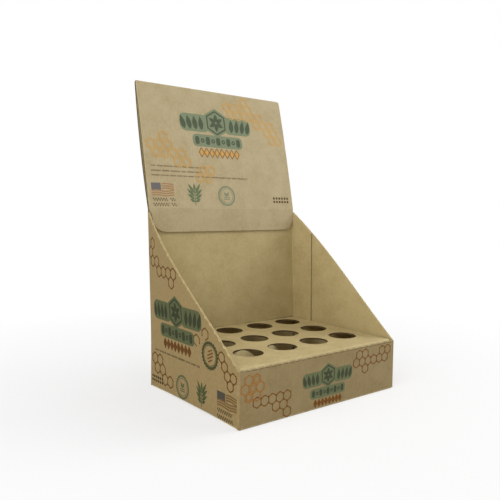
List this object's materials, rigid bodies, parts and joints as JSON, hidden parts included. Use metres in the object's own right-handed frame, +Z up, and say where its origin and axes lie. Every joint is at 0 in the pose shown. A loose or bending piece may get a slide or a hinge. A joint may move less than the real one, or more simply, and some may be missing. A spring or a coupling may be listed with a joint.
{
  "type": "cardboard counter display stand",
  "caption": "Open kraft board counter display box with a low front, sloping side walls, a raised folded header and a drop-in shelf with round holes for tubes.",
  "frame": {"origin": "middle of the base's footprint, on the surface it stands on", "axes": "+Z up, -Y towards the low front that faces the customer, +X to the right seen from the front"},
  "size_m": [0.1898, 0.1734, 0.2857],
  "materials": {
    "printed_board": "matt kraft board, printed outside",
    "plain_board": "matt kraft board, unprinted"
  },
  "bodies": {
    "root": {"display_box": "printed_board", "hole_shelf": "plain_board"}
  },
  "joints": []
}
